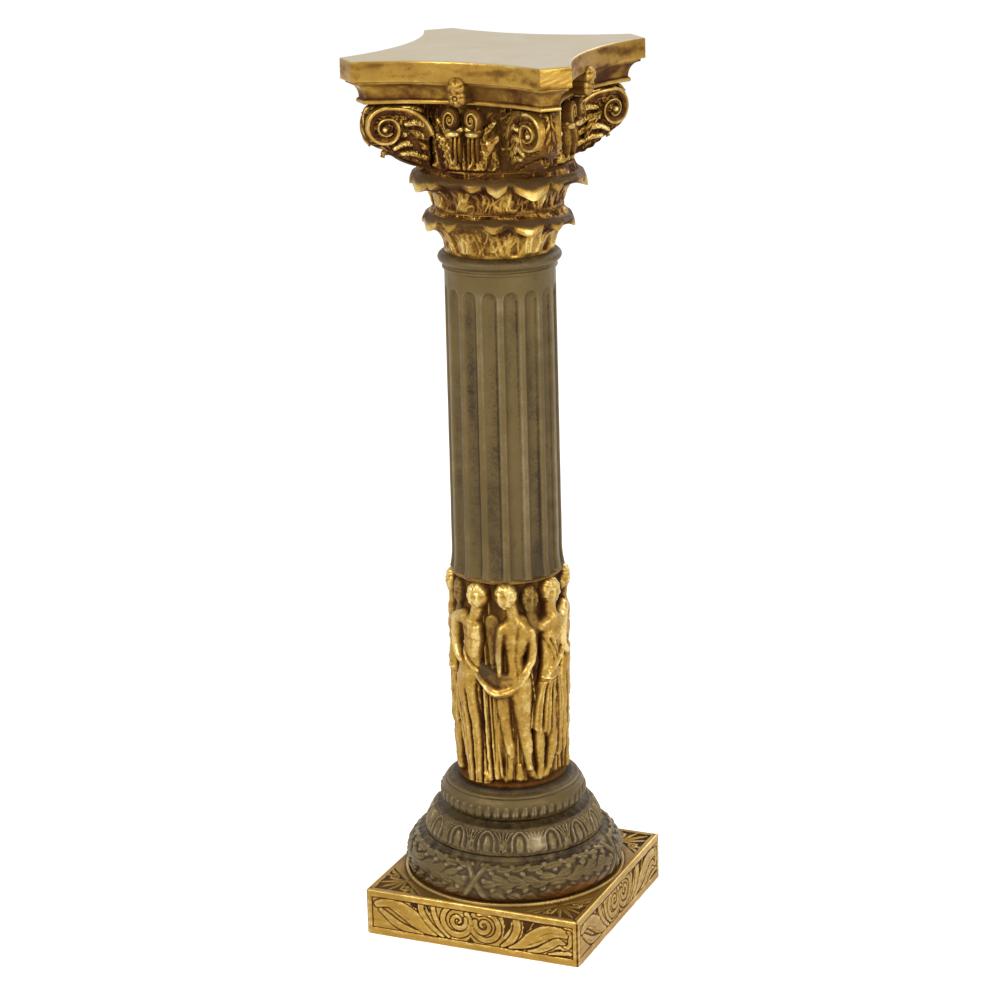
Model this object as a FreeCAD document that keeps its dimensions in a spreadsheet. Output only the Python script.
"""Pedestal column stand: a gilded and bronzed Corinthian column on a square plinth.

Ten stacked castings are located by spigots and clamped by one rod down the middle.
Corner volutes, side flowers and the eight drum figures are separate mouldings.
Millimetres, +Z up, origin at the bottom centre, wide side of the plinth towards -Y.
"""
import FreeCAD, Part
import math
import os
import re
import Sketcher
from FreeCAD import Placement, Rotation, Vector

os.makedirs("parts", exist_ok=True)
document = FreeCAD.newDocument("pedestal_column_stand")
sheet = document.addObject("Spreadsheet::Sheet", "Sizes")

SIZES = {
    # How the castings locate on each other and hold together.
    "bore_radius": 38.0,
    "spigot_wall": 8.0,
    "spigot_height": 6.0,
    "web_height": 10.0,
    "fit_gap": 0.3,
    "rod_radius": 5.0,
    "rod_hole_radius": 6.0,
    "nut_width": 17.0,
    "nut_height": 8.0,
    "washer_radius": 15.0,
    "washer_height": 2.5,
    "nut_recess_radius": 19.0,
    "nut_recess_depth": 18.0,
    "rod_stand_out": 3.0,
    # Square plinth with a framed panel in each side.
    "plinth_side": 250.0,
    "plinth_height": 52.5,
    "plinth_arris": 2.5,
    "panel_end_margin": 6.0,
    "panel_low_band": 8.0,
    "panel_high_band": 9.0,
    "panel_depth": 1.6,
    "foot_ring_radius": 122.0,
    "foot_ring_width": 4.0,
    "foot_ring_height": 3.0,
    # Laurel torus: overlapping leaf bundles round a half-round moulding.
    "laurel_radius": 120.5,
    "laurel_height": 42.0,
    "laurel_foot_radius": 110.0,
    "laurel_head_radius": 103.0,
    "laurel_leaf_step": 2.4,
    "laurel_bundles": 20,
    "laurel_collar_radius": 98.5,
    "laurel_collar_height": 5.5,
    # Waterleaf band: a sloping ring of tongues.
    "band_foot_radius": 97.0,
    "band_head_radius": 84.0,
    "band_bulge": 2.5,
    "band_leaf_swing": 1.2,
    "band_height": 31.0,
    "band_leaves": 16,
    "band_phase": -73.6,
    # Upper torus with a plain shoulder.
    "torus_foot_radius": 72.0,
    "torus_radius": 79.3,
    "torus_head_radius": 72.5,
    "torus_height": 29.0,
    "torus_lip_radius": 66.0,
    "torus_lip_height": 4.0,
    # Figured drum.
    "drum_radius": 52.5,
    "drum_height": 238.0,
    "drum_ledge_radius": 59.5,
    "drum_ledge_height": 5.0,
    "drum_crown_radius": 61.0,
    "drum_crown_height": 4.0,
    "figure_count": 8,
    "figure_first_angle": 22.5,
    "figure_height": 236.0,
    "figure_shoulder": 38.0,
    "figure_depth": 17.0,
    # Fluted shaft with an astragal under the capital.
    "shaft_height": 348.0,
    "shaft_foot_radius": 62.0,
    "shaft_foot_flare": 20.0,
    "shaft_radius": 59.6,
    "shaft_neck_radius": 58.6,
    "astragal_radius": 65.4,
    "astragal_height": 12.0,
    "flute_count": 16,
    "flute_radius": 8.2,
    "flute_depth": 4.6,
    "flute_foot": 1.5,
    "flute_length": 303.0,
    # Capital: two leaf rings round a bell.
    "bell_core_radius": 50.0,
    "leaf_lobes": 12,
    "lower_ring_height": 48.0,
    "lower_ring_foot_radius": 58.5,
    "lower_ring_rim_radius": 80.0,
    "lower_ring_waist_radius": 69.5,
    "upper_ring_height": 46.0,
    "upper_ring_rim_radius": 92.5,
    "upper_ring_waist_radius": 76.0,
    "leaf_swing": 1.8,
    "bell_head_height": 70.0,
    "bell_foot_radius": 80.5,
    "bell_head_radius": 82.0,
    # Small facing helices below each flower.
    "helix_radius": 9.5,
    "helix_spread": 11.5,
    "helix_drop": 13.0,
    "helix_stand_out": 11.0,
    # Corner volutes.
    "volute_inset": 36.6,
    "volute_radius": 22.5,
    "volute_band": 5.0,
    "volute_tightening": 5.0,
    "volute_throat": 2.0,
    "volute_web_inset": 5.0,
    "volute_head_gap": 3.0,
    "volute_root_drop": 16.0,
    "volute_root_depth": 18.0,
    "volute_toe_angle": 22.5,
    "volute_leaf_reach": -8.0,
    "volute_leaf_width": 34.0,
    "volute_edge_width": 20.0,
    "volute_root_width": 44.0,
    # Abacus with hollow sides and cut corners.
    "abacus_half": 127.0,
    "abacus_corner": 103.0,
    "abacus_hollow": 24.0,
    "fascia_height": 22.0,
    "fillet_height": 2.0,
    "fillet_inset": 5.0,
    "cavetto_height": 17.0,
    "cavetto_inset": 17.0,
    "bead_height": 5.0,
    "bead_inset": 14.5,
    # Flower on the middle of each abacus side.
    "flower_radius": 10.5,
    "flower_stand_out": 5.5,
    "flower_rise": 22.0,
    "flower_eye_radius": 7.5,
    "flower_eye_rise": 6.0,
}
for row, (alias, number) in enumerate(SIZES.items(), start=1):
    sheet.set(f"A{row}", alias)
    sheet.set(f"B{row}", str(number))
    sheet.setAlias(f"B{row}", alias)
document.recompute()


def number(formula):
    """The value of a formula in the sheet's names, in millimetres or degrees."""
    return float(sheet.evalExpression(formula))


def bound(formula):
    """The same formula with each size written as a cell of the sheet."""
    return re.sub(r"[a-z]\w*", lambda word: f"Sizes.{word[0]}" if word[0] in SIZES else word[0], formula)


# Levels, each worked out from the heights below it.
LAUREL_TOP = "(laurel_height + laurel_collar_height)"
LAUREL_Z = "plinth_height"
BAND_Z = f"({LAUREL_Z} + {LAUREL_TOP})"
TORUS_Z = f"({BAND_Z} + band_height)"
TORUS_TOP = "(torus_height + torus_lip_height)"
DRUM_Z = f"({TORUS_Z} + {TORUS_TOP})"
SHAFT_Z = f"({DRUM_Z} + drum_height)"
CAPITAL_Z = f"({SHAFT_Z} + shaft_height)"
UPPER_RING_Z = f"({CAPITAL_Z} + lower_ring_height)"
BELL_HEAD = "(lower_ring_height + upper_ring_height)"
BELL_TOP = f"({BELL_HEAD} + bell_head_height)"
ABACUS_Z = f"({CAPITAL_Z} + {BELL_TOP})"
FASCIA = "(bead_height + cavetto_height + fillet_height)"
VOLUTE_CENTRE = "((abacus_half + abacus_corner) / sqrt(2) - volute_inset)"
SPIGOT_RADIUS = "(bore_radius - fit_gap)"
INNER_RADIUS = "(bore_radius - spigot_wall)"

pieces = []


def keep(item, label, height="0", turn="0"):
    """Name a finished sub-part and set it at its height and turn about the axis."""
    item.Label = label
    item.setExpression("Placement.Base.z", bound(height))
    item.setExpression("Placement.Rotation.Angle", bound(turn))
    pieces.append(item)
    return item


def origin_feature(body, role):
    """One of a body's own origin planes or axes."""
    return next(item for item in body.Origin.OriginFeatures if item.Role == role)


def pin(sketch, axis, geometry, end, formula):
    """Hold one coordinate of a sketch point at a formula."""
    if number(formula) == 0.0:
        line = -2 if axis == "DistanceX" else -1
        sketch.addConstraint(Sketcher.Constraint("PointOnObject", geometry, end, line))
        return
    index = sketch.addConstraint(Sketcher.Constraint(axis, -1, 1, geometry, end, number(formula)))
    sketch.setExpression(f"Constraints[{index}]", bound(formula))


def arc_crown(start, finish, radius, side):
    """Middle point of the shorter arc; side +1 bows it to the left of the chord."""
    chord = finish - start
    half = chord.Length / 2
    rise = radius - math.sqrt(radius ** 2 - half ** 2)
    left = Vector(-chord.y, chord.x, 0).normalize()
    crown = (start + finish) / 2 + left * rise * side
    return crown


def outline(body, name, role, steps, level="0"):
    """A closed sketch: each step is a point (x, y), or (x, y, radius, side) for an arc to it."""
    sketch = body.newObject("Sketcher::SketchObject", name)
    sketch.AttachmentSupport = (origin_feature(body, role), "")
    sketch.MapMode = "FlatFace"
    sketch.setExpression("AttachmentOffset.Base.z", bound(level))
    corners = [Vector(number(step[0]), number(step[1]), 0) for step in steps]
    ends = []
    for index, step in enumerate(steps):
        start = corners[index - 1]
        finish = corners[index]
        if len(step) == 2:
            sketch.addGeometry(Part.LineSegment(start, finish), False)
            ends.append((1, 2))
            continue
        crown = arc_crown(start, finish, number(step[2]), step[3])
        sketch.addGeometry(Part.Arc(start, crown, finish), False)
        ends.append((2, 1) if step[3] > 0 else (1, 2))
    for index, step in enumerate(steps):
        before = index - 1 if index else len(steps) - 1
        joint = Sketcher.Constraint("Coincident", before, ends[before][1], index, ends[index][0])
        sketch.addConstraint(joint)
        pin(sketch, "DistanceX", index, ends[index][1], step[0])
        pin(sketch, "DistanceY", index, ends[index][1], step[1])
        if len(step) > 2:
            place = sketch.addConstraint(Sketcher.Constraint("Radius", index, number(step[2])))
            sketch.setExpression(f"Constraints[{place}]", bound(step[2]))
    return sketch


def circle(body, name, radius, x="0", y="0", role="XY_Plane", level="0"):
    """A sketch of one circle."""
    sketch = body.newObject("Sketcher::SketchObject", name)
    sketch.AttachmentSupport = (origin_feature(body, role), "")
    sketch.MapMode = "FlatFace"
    sketch.setExpression("AttachmentOffset.Base.z", bound(level))
    middle = Vector(number(x), number(y), 0)
    sketch.addGeometry(Part.Circle(middle, Vector(0, 0, 1), number(radius)), False)
    pin(sketch, "DistanceX", 0, 3, x)
    pin(sketch, "DistanceY", 0, 3, y)
    index = sketch.addConstraint(Sketcher.Constraint("Radius", 0, number(radius)))
    sketch.setExpression(f"Constraints[{index}]", bound(radius))
    return sketch


def extrude(body, kind, name, sketch, length, reverse=False, both=False):
    """A Pad or a Pocket of a sketch by a length."""
    feature = body.newObject(f"PartDesign::{kind}", name)
    feature.Profile = sketch
    feature.setExpression("Length", bound(length))
    feature.Reversed = reverse
    feature.Midplane = both
    return feature


def turned(body, kind, name, sketch):
    """A Revolution or a Groove of a sketch about its vertical axis."""
    feature = body.newObject(f"PartDesign::{kind}", name)
    feature.Profile = sketch
    feature.ReferenceAxis = (sketch, ["V_Axis"])
    feature.Angle = 360
    return feature


def round_pattern(body, name, features, count):
    """Copies of some features round the body's upright axis."""
    pattern = body.newObject("PartDesign::PolarPattern", name)
    pattern.Originals = features
    pattern.Axis = (origin_feature(body, "Z_Axis"), [""])
    pattern.Angle = 360
    pattern.setExpression("Occurrences", bound(count))
    body.Tip = pattern
    return pattern


def casting(label, height, top, skin):
    """A turned ring casting: a bore below, a web and a spigot above, and its own outer skin."""
    body = document.addObject("PartDesign::Body", label)
    steps = [
        ("bore_radius", "0"),
        ("bore_radius", f"{top} - web_height"),
        (INNER_RADIUS, f"{top} - web_height"),
        (INNER_RADIUS, f"{top} + spigot_height"),
        (SPIGOT_RADIUS, f"{top} + spigot_height"),
        (SPIGOT_RADIUS, top),
    ]
    sketch = outline(body, f"{label}_profile", "XZ_Plane", steps + skin)
    turned(body, "Revolution", f"{label}_turning", sketch)
    return keep(body, label, height)


# Plinth: a block with rounded arrises, a sunk panel in each side, a foot ring and a spigot.
def make_plinth():
    body = document.addObject("PartDesign::Body", "plinth")
    half = "plinth_side / 2"
    square = [(f"-{half}", f"-{half}"), (half, f"-{half}"), (half, half), (f"-{half}", half)]
    block = extrude(body, "Pad", "block", outline(body, "footprint", "XY_Plane", square), "plinth_height")
    document.recompute()
    edges = block.Shape.Edges
    names = [f"Edge{place}" for place, edge in enumerate(edges, start=1) if edge.CenterOfMass.z > 1]
    arris = body.newObject("PartDesign::Fillet", "arris")
    arris.Base = (block, names)
    arris.setExpression("Radius", bound("plinth_arris"))
    reach = f"({half} - panel_end_margin)"
    high = "(plinth_height - panel_high_band)"
    panel = [(f"-{reach}", "panel_low_band"), (reach, "panel_low_band"), (reach, high), (f"-{reach}", high)]
    window = outline(body, "panel", "XZ_Plane", panel, half)
    sunk = extrude(body, "Pocket", "sunk_panel", window, "panel_depth")
    round_pattern(body, "sunk_panels", [sunk], "4")
    ring = circle(body, "ring_edge", "foot_ring_radius", level="plinth_height")
    extrude(body, "Pad", "foot_ring", ring, "foot_ring_height")
    floor = circle(body, "ring_hollow", "foot_ring_radius - foot_ring_width",
                   level="plinth_height + foot_ring_height")
    extrude(body, "Pocket", "ring_floor", floor, "foot_ring_height")
    post = circle(body, "spigot_edge", SPIGOT_RADIUS, level="plinth_height")
    extrude(body, "Pad", "spigot", post, "spigot_height")
    recess = circle(body, "recess_edge", "nut_recess_radius")
    extrude(body, "Pocket", "nut_recess", recess, "nut_recess_depth", reverse=True)
    hole = circle(body, "hole_edge", "rod_hole_radius")
    extrude(body, "Pocket", "rod_hole", hole, "2 * plinth_height", reverse=True)
    return keep(body, "plinth")


# Laurel torus: each leaf bundle is a ruled wedge, proud at its tip and low at its root.
def leaf_section(angle, lift):
    """Half-round moulding section in the upright plane at an angle, lifted off the core."""
    outer = number("laurel_radius") - number("laurel_leaf_step") + lift
    core = number("laurel_collar_radius") - 4
    height = number("laurel_height")
    foot = number("laurel_foot_radius")
    head = number("laurel_head_radius")
    across = Vector(math.cos(angle), math.sin(angle), 0)
    low = across * foot
    high = across * head + Vector(0, 0, height)
    crown = across * outer + Vector(0, 0, height * 0.48)
    bow = Part.Arc(low, crown, high).toShape()
    inner_low = across * core
    inner_high = across * core + Vector(0, 0, height)
    straight = Part.makePolygon([high, inner_high, inner_low, low])
    return Part.Wire([bow] + straight.Edges)


def make_laurel_torus():
    count = int(number("laurel_bundles"))
    step = 2 * math.pi / count
    proud = number("laurel_leaf_step")
    wedges = []
    for index in range(count):
        root = leaf_section(index * step, 0.0)
        tip = leaf_section((index + 1) * step, proud)
        wedges.append(Part.makeLoft([root, tip], True, True))
    collar = number("laurel_collar_radius")
    top = number(LAUREL_TOP)
    inner = number(INNER_RADIUS)
    bore = number("bore_radius")
    web = number("web_height")
    core = Part.makeCylinder(collar, top).fuse(wedges)
    core = core.fuse(Part.makeCylinder(number(SPIGOT_RADIUS), top + number("spigot_height")))
    core = core.cut(Part.makeCylinder(bore, top - web))
    core = core.cut(Part.makeCylinder(inner, top + number("spigot_height")))
    item = document.addObject("Part::Feature", "base_laurel_torus")
    item.Shape = core.removeSplitter()
    return keep(item, "base_laurel_torus", LAUREL_Z)


def lobed_wire(height, mean, swing, lobes, phase=0.0, share=4):
    """A level polygon whose radius swings out once for each leaf."""
    count = lobes * share
    corners = []
    for index in range(count):
        angle = 2 * math.pi * index / count
        radius = mean + swing * math.cos(lobes * angle)
        place = angle + math.radians(phase)
        corners.append(Vector(radius * math.cos(place), radius * math.sin(place), height))
    return Part.makePolygon(corners + corners[:1])


def carved_ring(label, height, top, sections, lobes, phase, bore, spigot):
    """A ring lofted through lobed sections, bored, with or without a spigot above."""
    wires = [lobed_wire(level, mean, swing, lobes, phase) for level, mean, swing in sections]
    ring = Part.makeLoft(wires, True, True)
    if spigot:
        post = Part.makeCylinder(number(SPIGOT_RADIUS), top + number("spigot_height"))
        ring = ring.fuse(post)
        ring = ring.cut(Part.makeCylinder(number(INNER_RADIUS), top + number("spigot_height")))
        ring = ring.cut(Part.makeCylinder(bore, top - number("web_height")))
    else:
        ring = ring.cut(Part.makeCylinder(bore, top))
    item = document.addObject("Part::Feature", label)
    item.Shape = ring.removeSplitter()
    return keep(item, label, height)


def make_leaf_band():
    foot = number("band_foot_radius")
    head = number("band_head_radius")
    high = number("band_height")
    swing = number("band_leaf_swing")
    middle = (foot + head) / 2 + number("band_bulge")
    sections = (
        (0.0, foot, 0.0),
        (high * 0.12, foot, 0.0),
        (high * 0.16, foot - swing, swing),
        (high * 0.5, middle, swing),
        (high * 0.8, head + swing, swing / 2),
        (high * 0.85, head - 4, 0.0),
        (high, head - 6, 0.0),
    )
    return carved_ring("base_leaf_band", BAND_Z, high, sections, int(number("band_leaves")),
                       number("band_phase"), number("bore_radius"), True)


def make_upper_torus():
    skin = [
        ("torus_lip_radius", TORUS_TOP),
        ("torus_lip_radius", "torus_height"),
        ("torus_head_radius", "torus_height"),
        ("torus_radius - 1.5", "0.79 * torus_height"),
        ("torus_radius", "0.56 * torus_height"),
        ("torus_radius - 1.2", "0.3 * torus_height"),
        ("torus_foot_radius + 2", "0.1 * torus_height"),
        ("torus_foot_radius", "0"),
    ]
    return casting("base_upper_torus", TORUS_Z, TORUS_TOP, skin)


def make_drum():
    skin = [
        ("drum_crown_radius", "drum_height"),
        ("drum_crown_radius", "drum_height - drum_crown_height"),
        ("drum_radius", "drum_height - drum_crown_height"),
        ("drum_radius", "drum_ledge_height"),
        ("drum_ledge_radius", "drum_ledge_height"),
        ("drum_ledge_radius", "0"),
    ]
    return casting("figure_drum", DRUM_Z, "drum_height", skin)


# Drum figures: draped body, head and folded arms, hollowed at the back to the drum.
def body_section(level, half_width, depth, sway):
    """Bowed front over a straight back; the figure faces -Y from the drum's surface."""
    face = number("drum_radius")
    left = Vector(sway - half_width, -face + 5, level)
    right = Vector(sway + half_width, -face + 5, level)
    left_front = left + Vector(0, -5.5, 0)
    right_front = right + Vector(0, -5.5, 0)
    crown = Vector(sway, -face - depth, level)
    bow = Part.Arc(left_front, crown, right_front).toShape()
    back = Part.makePolygon([right_front, right, left, left_front])
    return Part.Wire([bow] + back.Edges)


def limb(points, radius):
    """A round limb along straight runs."""
    runs = []
    for start, finish in zip(points, points[1:]):
        runs.append(Part.makeCylinder(radius, (finish - start).Length, start, finish - start))
    return runs


def figure_shape(mirror, draped):
    """One standing figure, as a share of its height, shoulder width and depth."""
    tall = number("figure_height")
    wide = number("figure_shoulder") / 2 * mirror
    broad = abs(wide)
    deep = number("figure_depth")
    face = number("drum_radius")
    hem = 0.86 if draped else 0.62
    sections = [
        body_section(0.0, broad * hem, deep * 0.36, 0),
        body_section(tall * 0.22, broad * hem * 0.9, deep * 0.44, -0.08 * wide),
        body_section(tall * 0.40, broad * 0.8, deep * 0.8, 0),
        body_section(tall * 0.52, broad * 0.86, deep * 0.95, 0.12 * wide),
        body_section(tall * 0.62, broad * 0.62, deep * 0.75, 0.06 * wide),
        body_section(tall * 0.74, broad * 0.84, deep, 0),
        body_section(tall * 0.815, broad * 0.92, deep * 0.8, 0),
        body_section(tall * 0.87, broad * 0.3, deep * 0.72, 0),
    ]
    trunk = Part.makeLoft(sections, True, True)
    head_radius = tall * 0.051
    head_centre = Vector(0.1 * wide, -face - deep * 0.55, tall * 0.905)
    head = Part.makeSphere(head_radius, head_centre)
    hair = Part.makeCone(head_radius * 0.97, head_radius * 0.6, tall * 0.06,
                         head_centre + Vector(0, deep * 0.1, head_radius * 0.1))
    shoulder = Vector(-0.9 * wide, -face - deep * 0.35, tall * 0.80)
    elbow = Vector(-1.0 * wide, -face - deep * 0.6, tall * 0.63)
    hand = Vector(-0.1 * wide, -face - deep * 1.0, tall * 0.56)
    far_shoulder = Vector(0.9 * wide, -face - deep * 0.35, tall * 0.80)
    far_elbow = Vector(1.02 * wide, -face - deep * 0.3, tall * 0.62)
    far_hand = Vector(0.9 * wide, -face - deep * 0.5, tall * 0.47)
    arms = limb([shoulder, elbow, hand], 3.4) + limb([far_shoulder, far_elbow, far_hand], 3.4)
    whole = trunk.fuse([head, hair] + arms)
    bed = Part.makeCylinder(face + number("fit_gap"), tall * 1.1)
    return whole.cut(bed).removeSplitter()


def make_figures():
    count = int(number("figure_count"))
    for index in range(count):
        mirror = 1 if index % 4 < 2 else -1
        item = document.addObject("Part::Feature", f"drum_figure_{index + 1}")
        item.Shape = figure_shape(mirror, index % 2 == 1)
        turn = f"figure_first_angle + {index} * 360 / figure_count"
        keep(item, f"drum_figure_{index + 1}", f"{DRUM_Z} + drum_ledge_height", turn)


# Shaft: a slightly tapered casting with round-headed flutes and an astragal.
def make_shaft():
    astragal = "(shaft_height - astragal_height)"
    skin = [
        ("astragal_radius - 3", "shaft_height"),
        ("astragal_radius", "shaft_height - 0.3 * astragal_height"),
        ("astragal_radius", "shaft_height - 0.75 * astragal_height"),
        ("astragal_radius - 4", astragal),
        ("shaft_neck_radius", f"{astragal} - 5"),
        ("shaft_radius", "shaft_foot_flare"),
        ("shaft_foot_radius", "0"),
    ]
    body = casting("shaft", SHAFT_Z, "shaft_height", skin)
    centre = "(shaft_radius - flute_depth + flute_radius)"
    edge = "(shaft_radius - flute_depth)"
    top = "(flute_foot + flute_length)"
    lower = circle(body, "flute_edge", "flute_radius", f"{centre} * cos(180 / flute_count)",
                   f"{centre} * sin(180 / flute_count)", level="flute_foot")
    flute = extrude(body, "Pocket", "flute", lower, "flute_length", reverse=True)
    round_pattern(body, "flutes", [flute], "flute_count")
    crown = body.newObject("PartDesign::SubtractiveSphere", "flute_head")
    crown.setExpression("Radius", bound("flute_radius"))
    crown.AttachmentSupport = (origin_feature(body, "XY_Plane"), "")
    crown.MapMode = "FlatFace"
    crown.setExpression("AttachmentOffset.Base.x", bound(f"{centre} * cos(180 / flute_count)"))
    crown.setExpression("AttachmentOffset.Base.y", bound(f"{centre} * sin(180 / flute_count)"))
    crown.setExpression("AttachmentOffset.Base.z", bound(top))
    round_pattern(body, "flute_heads", [crown], "flute_count")
    return body


def make_leaf_rings():
    swing = number("leaf_swing")
    foot = number("lower_ring_foot_radius")
    rim = number("lower_ring_rim_radius")
    waist = number("lower_ring_waist_radius")
    high = number("lower_ring_height")
    bore = number("bell_core_radius + fit_gap")
    lobes = int(number("leaf_lobes"))
    sections = (
        (0.0, foot, 0.0),
        (high * 0.15, foot + 1, swing * 0.6),
        (high * 0.38, foot + 6, swing * 0.8),
        (high * 0.5, rim - 5, swing),
        (high * 0.6, rim - swing / 2, swing / 2),
        (high * 0.7, rim - 2, swing / 3),
        (high * 0.82, waist + 1, 0.0),
        (high, waist, 0.0),
    )
    carved_ring("lower_leaf_ring", CAPITAL_Z, high, sections, lobes, 0.0, bore, False)
    foot = waist
    rim = number("upper_ring_rim_radius")
    waist = number("upper_ring_waist_radius")
    high = number("upper_ring_height")
    sections = (
        (0.0, foot - 1, 0.0),
        (high * 0.2, foot, swing * 0.5),
        (high * 0.3, foot + 3, swing * 0.8),
        (high * 0.42, rim - 5, swing),
        (high * 0.52, rim - swing / 2, swing / 2),
        (high * 0.64, rim - 2, swing / 3),
        (high * 0.82, waist + 3, 0.0),
        (high, waist, 0.0),
    )
    carved_ring("upper_leaf_ring", UPPER_RING_Z, high, sections, lobes, 15.0, bore, False)


# Bell: the core that the leaf rings slip over, its head with four pairs of small helices.
def make_bell():
    body = document.addObject("PartDesign::Body", "capital_bell")
    steps = [
        ("bore_radius", "0"),
        ("bore_radius", f"{BELL_TOP} - nut_recess_depth - web_height"),
        ("rod_hole_radius", f"{BELL_TOP} - nut_recess_depth - web_height"),
        ("rod_hole_radius", f"{BELL_TOP} - nut_recess_depth"),
        ("nut_recess_radius", f"{BELL_TOP} - nut_recess_depth"),
        ("nut_recess_radius", BELL_TOP),
        ("bell_head_radius", BELL_TOP),
        ("bell_foot_radius", BELL_HEAD),
        ("bell_core_radius", BELL_HEAD),
        ("bell_core_radius", "0"),
    ]
    sketch = outline(body, "bell_profile", "XZ_Plane", steps)
    turned(body, "Revolution", "bell_turning", sketch)
    level = "(bell_head_radius - helix_stand_out)"
    left = circle(body, "left_helix", "helix_radius", "-helix_spread", f"{BELL_TOP} - helix_drop",
                  "XZ_Plane", level)
    right = circle(body, "right_helix", "helix_radius", "helix_spread", f"{BELL_TOP} - helix_drop",
                   "XZ_Plane", level)
    pads = [
        extrude(body, "Pad", "left_helix_scroll", left, "2 * helix_stand_out"),
        extrude(body, "Pad", "right_helix_scroll", right, "2 * helix_stand_out"),
    ]
    round_pattern(body, "helices", pads, "4")
    return keep(body, "capital_bell", CAPITAL_Z)


# Corner volute: a scroll band standing proud of a solid web, both toed in at the outer edge.
def toe_in(body, name, mid, inset):
    """Cut both cheeks so that they close towards the scroll's outer edge, drawn in by an inset."""
    wide = f"(volute_root_width / 2 - {inset})"
    narrow = f"(volute_edge_width / 2 - {inset})"
    tip = f"({mid} + volute_radius + 1)"
    taper = f"({tip} - (volute_root_width - volute_edge_width) / 2 / tan(volute_toe_angle))"
    for side, sign in (("left", ""), ("right", "-")):
        toe = [
            (taper, f"{sign}{wide}"),
            (tip, f"{sign}{narrow}"),
            (tip, f"{sign}({wide} + 1)"),
            (taper, f"{sign}({wide} + 1)"),
        ]
        wedge = outline(body, f"{name}_{side}_toe", "XY_Plane", toe)
        extrude(body, "Pocket", f"{name}_{side}_taper", wedge, f"{BELL_TOP} + 1", reverse=True)


def make_volute(index):
    name = f"corner_volute_{index + 1}"
    body = document.addObject("PartDesign::Body", name)
    mid = VOLUTE_CENTRE
    top = f"({BELL_TOP} - volute_head_gap)"
    first = "volute_radius"
    second = "(volute_radius - volute_tightening)"
    third = "(volute_radius - 2 * volute_tightening)"
    axis = f"({top} - {first})"
    low = f"({axis} - {first})"
    second_axis = f"({low} + {second})"
    second_top = f"({second_axis} + {second})"
    third_axis = f"({second_top} - {third})"
    third_low = f"({third_axis} - {third})"
    inner_second = f"({second} - volute_band)"
    inner_first = f"({first} - volute_band)"
    throat = f"({second_top} - volute_band)"
    eye_top = f"({throat} - volute_throat)"
    eye = f"(({eye_top} - {third_low}) / 2)"
    root = "(bell_head_radius + fit_gap)"
    reach = f"({mid} - {root})"
    upper_drop = "volute_root_drop"
    lower_drop = "(volute_root_drop + volute_root_depth - volute_band)"
    steps = [
        (mid, top, f"({reach} ^ 2 + {upper_drop} ^ 2) / (2 * {upper_drop})", 1),
        (f"{mid} + {first}", axis, first, 1),
        (mid, low, first, 1),
        (f"{mid} - {second}", second_axis, second, 1),
        (mid, second_top, second, 1),
        (f"{mid} + {third}", third_axis, third, 1),
        (mid, third_low, third, 1),
        (f"{mid} - {eye}", f"{third_low} + {eye}", eye, 1),
        (mid, eye_top, eye, 1),
        (mid, throat),
        (f"{mid} - {inner_second}", second_axis, inner_second, -1),
        (mid, f"{low} + volute_band", inner_second, -1),
        (f"{mid} + {inner_first}", axis, inner_first, -1),
        (mid, f"{top} - volute_band", inner_first, -1),
        (root, f"{top} - volute_band - {lower_drop}",
         f"({reach} ^ 2 + {lower_drop} ^ 2) / (2 * {lower_drop})", -1),
        (root, f"{top} - {upper_drop}"),
    ]
    leaf_foot = f"{BELL_HEAD} + 2"
    leaf_drop = f"({low} - 6 - ({leaf_foot}))"
    leaf_reach = f"({mid} + volute_leaf_reach - {root})"
    leaf_bow = f"({leaf_reach} ^ 2 + {leaf_drop} ^ 2) / (2 * {leaf_drop}) * 1.15"
    rim = f"({first} - 1)"
    web = [
        (f"{mid} + volute_leaf_reach", f"{low} - 6", leaf_bow, 1),
        (f"{mid} + volute_leaf_reach + 2", f"{low} + 2"),
        (mid, f"{axis} - {rim}"),
        (f"{mid} + {rim}", axis, rim, -1),
        (mid, f"{axis} + {rim}", rim, -1),
        (f"{mid} - 3", f"{BELL_TOP} - fit_gap"),
        (root, f"{BELL_TOP} - fit_gap"),
        (root, leaf_foot),
    ]
    solid = outline(body, f"{name}_web_profile", "XZ_Plane", web)
    extrude(body, "Pad", f"{name}_web", solid, "volute_root_width - 2 * volute_web_inset", both=True)
    toe_in(body, f"{name}_web", mid, "volute_web_inset")
    spiral = outline(body, f"{name}_spiral", "XZ_Plane", steps)
    extrude(body, "Pad", f"{name}_scroll", spiral, "volute_root_width", both=True)
    leaf = [
        (f"{mid} + volute_leaf_reach", f"{low} - 6", leaf_bow, 1),
        (f"{mid} + volute_leaf_reach + 2", f"{low} + volute_band - 1"),
        (f"{mid} - 0.7 * {second}", f"{low} + volute_band + 2"),
        (root, f"{low} + 2"),
        (root, leaf_foot),
    ]
    under = outline(body, f"{name}_leaf_profile", "XZ_Plane", leaf)
    extrude(body, "Pad", f"{name}_leaf", under, "volute_leaf_width", both=True)
    toe_in(body, name, mid, "0")
    return keep(body, name, CAPITAL_Z, f"45 + {index} * 90")


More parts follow.
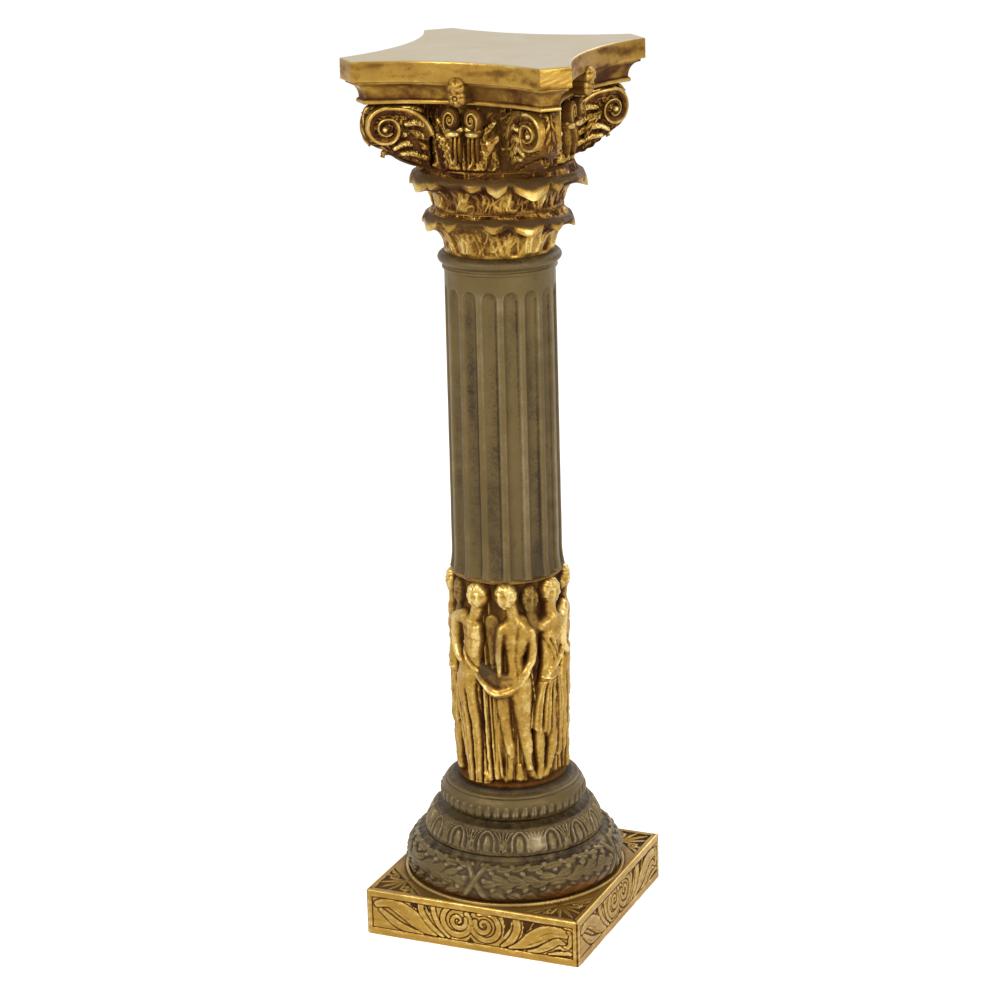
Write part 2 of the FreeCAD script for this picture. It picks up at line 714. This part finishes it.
# Abacus: bead, cavetto, fillet and fascia on one hollow-sided plan with cut corners.
def hollow_square(body, name, inset, level):
    """The abacus plan drawn in by an inset: four hollow sides joined by cut corners."""
    far = f"(abacus_half - {inset})"
    near = f"(abacus_corner - {inset} * tan(22.5))"
    hollow = f"({near} ^ 2 + abacus_hollow ^ 2) / (2 * abacus_hollow)"
    steps = [
        (near, f"-{far}", hollow, 1),
        (far, f"-{near}"),
        (far, near, hollow, 1),
        (near, far),
        (f"-{near}", far, hollow, 1),
        (f"-{far}", near),
        (f"-{far}", f"-{near}", hollow, 1),
        (f"-{near}", f"-{far}"),
    ]
    return outline(body, name, "XY_Plane", steps, level)


def make_abacus():
    body = document.addObject("PartDesign::Body", "abacus")
    bead = hollow_square(body, "bead_plan", "bead_inset", "0")
    extrude(body, "Pad", "bead", bead, "bead_height")
    lower = hollow_square(body, "cavetto_foot", "cavetto_inset", "bead_height")
    upper = hollow_square(body, "cavetto_head", "fillet_inset", "bead_height + cavetto_height")
    cavetto = body.newObject("PartDesign::AdditiveLoft", "cavetto")
    cavetto.Profile = lower
    cavetto.Sections = [upper]
    cavetto.Ruled = True
    fillet = hollow_square(body, "fillet_plan", "fillet_inset", "bead_height + cavetto_height")
    extrude(body, "Pad", "fillet", fillet, "fillet_height")
    fascia = hollow_square(body, "fascia_plan", "0", FASCIA)
    extrude(body, "Pad", "fascia", fascia, "fascia_height")
    return keep(body, "abacus", ABACUS_Z)


# Side flowers: a boss on the fascia over a pierced disc, on a shank below the cavetto.
def make_flowers():
    radius = number("flower_radius")
    stand = number("flower_stand_out")
    hollow = number("(abacus_corner ^ 2 + abacus_hollow ^ 2) / (2 * abacus_hollow)")
    gap = number("fit_gap") + radius ** 2 / (2 * hollow) + 0.1
    fascia = number("abacus_half - abacus_hollow") + gap
    ball_radius = (radius ** 2 + stand ** 2) / (2 * stand)
    rise = number("flower_rise")
    ball = Part.makeSphere(ball_radius, Vector(0, ball_radius - fascia - stand, rise))
    ball = ball.common(Part.makeBox(4 * radius, 2 * stand, 4 * radius,
                                    Vector(-2 * radius, -fascia - 2 * stand, rise - 2 * radius)))
    bead_face = fascia - number("bead_inset")
    slope_foot = fascia - number("cavetto_inset")
    slope_head = fascia - number("fillet_inset")
    bead = number("bead_height")
    under = number(FASCIA) - number("fit_gap")
    slope = number("cavetto_height") + bead
    side = [(bead_face, 0), (bead_face, bead), (slope_foot, bead), (slope_head, slope),
            (slope_head, under), (fascia + stand / 2, under), (fascia + stand / 2, 0)]
    corners = [Vector(-radius * 0.55, -depth, level) for depth, level in side]
    shank = Part.Face(Part.makePolygon(corners + corners[:1])).extrude(Vector(radius * 1.1, 0, 0))
    eye = number("flower_eye_radius")
    eye_rise = number("flower_eye_rise")
    disc = Part.makeCylinder(eye, stand * 1.1, Vector(0, -fascia + stand * 0.4, eye_rise + eye * 0.6),
                             Vector(0, -1, 0))
    pupil = Part.makeCylinder(eye * 0.35, stand, Vector(0, -fascia - stand * 0.4, eye_rise + eye * 0.6),
                              Vector(0, -1, 0))
    flower = ball.fuse([shank, disc]).cut(pupil).removeSplitter()
    copies = []
    for index in range(4):
        turned_copy = flower.copy()
        turned_copy.rotate(Vector(), Vector(0, 0, 1), 90 * index)
        copies.append(turned_copy)
    item = document.addObject("Part::Feature", "abacus_flowers")
    item.Shape = Part.makeCompound(copies)
    return keep(item, "abacus_flowers", ABACUS_Z)


# Tie rod with a nut and a washer at each end.
def cylinder(name, radius, height, level):
    """An upright cylinder on the axis."""
    item = document.addObject("Part::Cylinder", name)
    item.setExpression("Radius", bound(radius))
    item.setExpression("Height", bound(height))
    item.setExpression("Placement.Base.z", bound(level))
    return item


def pierced(name, solid, hole):
    """A solid with a hole through it."""
    item = document.addObject("Part::Cut", name)
    item.Base = solid
    item.Tool = hole
    return item


def make_hardware():
    floor = f"({CAPITAL_Z} + {BELL_TOP} - nut_recess_depth)"
    ceiling = "nut_recess_depth"
    end = "(washer_height + nut_height + rod_stand_out)"
    rod = cylinder("tie_rod", "rod_radius", f"{floor} - {ceiling} + 2 * {end}", "0")
    keep(rod, "tie_rod", f"{ceiling} - {end}")
    hole = "rod_radius + fit_gap"
    washer_levels = (("lower", f"{ceiling} - washer_height"), ("upper", floor))
    nut_levels = (("lower", f"{ceiling} - washer_height - nut_height"), ("upper", f"{floor} + washer_height"))
    washers = []
    for place, level in washer_levels:
        disc = cylinder(f"{place}_washer_disc", "washer_radius", "washer_height", level)
        bore = cylinder(f"{place}_washer_bore", hole, "washer_height", level)
        washers.append(pierced(f"{place}_washer", disc, bore))
    nuts = []
    for place, level in nut_levels:
        prism = document.addObject("Part::Prism", f"{place}_nut_prism")
        prism.Polygon = 6
        prism.setExpression("Circumradius", bound("nut_width / 2 / cos(30)"))
        prism.setExpression("Height", bound("nut_height"))
        prism.setExpression("Placement.Base.z", bound(level))
        bore = cylinder(f"{place}_nut_bore", hole, "nut_height", level)
        nuts.append(pierced(f"{place}_nut", prism, bore))
    for label, solids in (("rod_washers", washers), ("rod_nuts", nuts)):
        pair = document.addObject("Part::Compound", label)
        pair.Links = solids
        keep(pair, label)


make_plinth()
make_laurel_torus()
make_leaf_band()
make_upper_torus()
make_drum()
make_figures()
make_shaft()
make_leaf_rings()
make_bell()
for corner in range(4):
    make_volute(corner)
make_abacus()
make_flowers()
make_hardware()
document.recompute()

for item in document.Objects:
    faults = [state for state in item.State if state in ("Invalid", "Error")]
    if faults:
        raise RuntimeError(f"{item.Label} did not recompute: {faults}")
for item in pieces:
    shape = item.Shape
    if shape.isNull() or not shape.isValid() or not shape.Solids:
        raise RuntimeError(f"{item.Label} has no sound solid")
for item in pieces:
    item.Shape.exportStep(f"parts/{item.Label}.step")
    print(f"{item.Label}: {len(item.Shape.Solids)} solid, {item.Shape.Volume / 1000:.1f} cm3")
